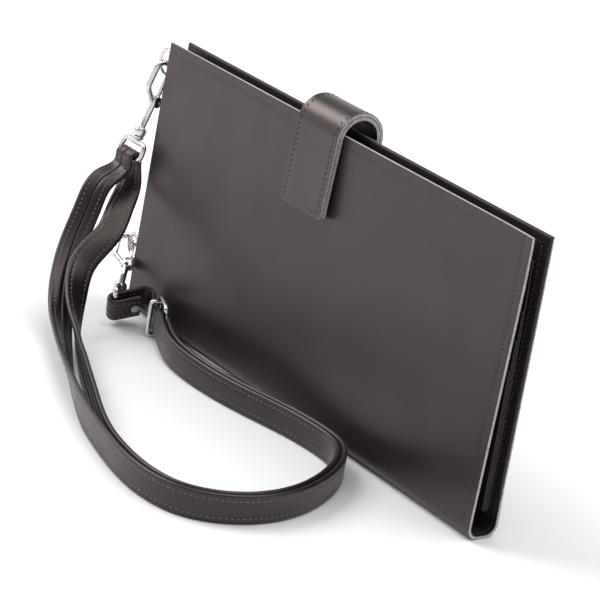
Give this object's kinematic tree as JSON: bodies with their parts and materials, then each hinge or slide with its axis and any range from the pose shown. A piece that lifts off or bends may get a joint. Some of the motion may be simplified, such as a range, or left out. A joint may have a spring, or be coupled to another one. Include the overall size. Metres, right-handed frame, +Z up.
{
  "type": "wristlet wallet",
  "caption": "Long fold-over leather wallet with a snap tab closure and a detachable leather wrist strap on swivel snap hooks.",
  "frame": {"origin": "middle of the spine's flat underside", "axes": "+X along the wallet's length to its plain end (the D-rings are at -X), +Y from the front panel to the back panel, +Z up from the spine to the mouth"},
  "size_m": [0.2562, 0.1254, 0.1318],
  "materials": {
    "cover_leather": "satin",
    "lining_leather": "satin",
    "pocket_leather": "satin",
    "tab_leather": "satin",
    "strap_leather": "satin",
    "stiffening_board": "matte",
    "polished_nickel": "polished",
    "snap_metal": "polished"
  },
  "bodies": {
    "front_half": {"front_panel": "cover_leather", "front_board": "stiffening_board", "front_lining": "lining_leather", "slip_pocket": "pocket_leather", "spine": "cover_leather", "spine_lining": "lining_leather", "ring_tab_upper": "tab_leather", "ring_tab_lower": "tab_leather", "snap_socket": "snap_metal", "swivel_eye_upper": "polished_nickel", "swivel_eye_lower": "polished_nickel", "strap_outer_ply": "strap_leather", "strap_inner_ply": "strap_leather", "strap_bight": "strap_leather", "strap_end_loop": "strap_leather", "end_rivet": "snap_metal", "slider_frame": "polished_nickel", "slider_bar": "polished_nickel"},
    "back_half": {"back_panel": "cover_leather", "back_board": "stiffening_board", "back_lining": "lining_leather", "note_pocket": "pocket_leather", "card_pocket_1": "pocket_leather", "card_pocket_2": "pocket_leather", "card_pocket_3": "pocket_leather", "tab_base": "tab_leather"},
    "flap": {"tab_flap": "tab_leather", "tab_flap_lining": "tab_leather", "snap_stud": "snap_metal"},
    "ring_upper": {"d_ring_upper": "polished_nickel"},
    "hook_upper": {"hook_body_upper": "polished_nickel", "gate_pin_upper": "polished_nickel"},
    "gate_upper": {"gate_upper": "polished_nickel"},
    "ring_lower": {"d_ring_lower": "polished_nickel"},
    "hook_lower": {"hook_body_lower": "polished_nickel", "gate_pin_lower": "polished_nickel"},
    "gate_lower": {"gate_lower": "polished_nickel"}
  },
  "joints": [
    {"name": "back_hinge", "type": "hinge", "parent": "front_half", "child": "back_half", "pos_m": [0, 0, 0], "axis": [-1, 0, 0], "range_deg": [0, 80], "deforming": ["spine", "spine_lining"]},
    {"name": "flap_hinge", "type": "hinge", "parent": "back_half", "child": "flap", "pos_m": [0, 0.0128, 0.12], "axis": [-1, 0, 0], "range_deg": [0, 120]},
    {"name": "ring_upper_swing", "type": "hinge", "parent": "front_half", "child": "ring_upper", "pos_m": [-0.1175, -0.00252, 0.112], "axis": [0, 0, 1], "range_deg": [-3, 3]},
    {"name": "hook_upper_swivel", "type": "hinge", "parent": "front_half", "child": "hook_upper", "pos_m": [-0.127, -0.01339, 0.06891], "axis": [0, 0.342, 0.9397], "range_deg": [-4, 9]},
    {"name": "gate_upper_press", "type": "hinge", "parent": "hook_upper", "child": "gate_upper", "pos_m": [-0.127, -0.00364, 0.09335], "axis": [1, 0, 0], "range_deg": [0, 18], "stiffness_Nm_per_rad": 0.01, "springref_deg": -17.19},
    {"name": "ring_lower_swing", "type": "hinge", "parent": "front_half", "child": "ring_lower", "pos_m": [-0.1175, -0.004, 0.027], "axis": [0, 0, 1], "range_deg": [0, 4]},
    {"name": "hook_lower_swivel", "type": "hinge", "parent": "front_half", "child": "hook_lower", "pos_m": [-0.102, -0.0265, 0.00888], "axis": [-0.6704, 0.5894, 0.4508], "range_deg": [-5, 5]},
    {"name": "gate_lower_press", "type": "hinge", "parent": "hook_lower", "child": "gate_lower", "pos_m": [-0.1191, -0.01039, 0.02073], "axis": [0.3385, -0.2976, 0.8926], "range_deg": [0, 18], "stiffness_Nm_per_rad": 0.01, "springref_deg": -17.19}
  ]
}
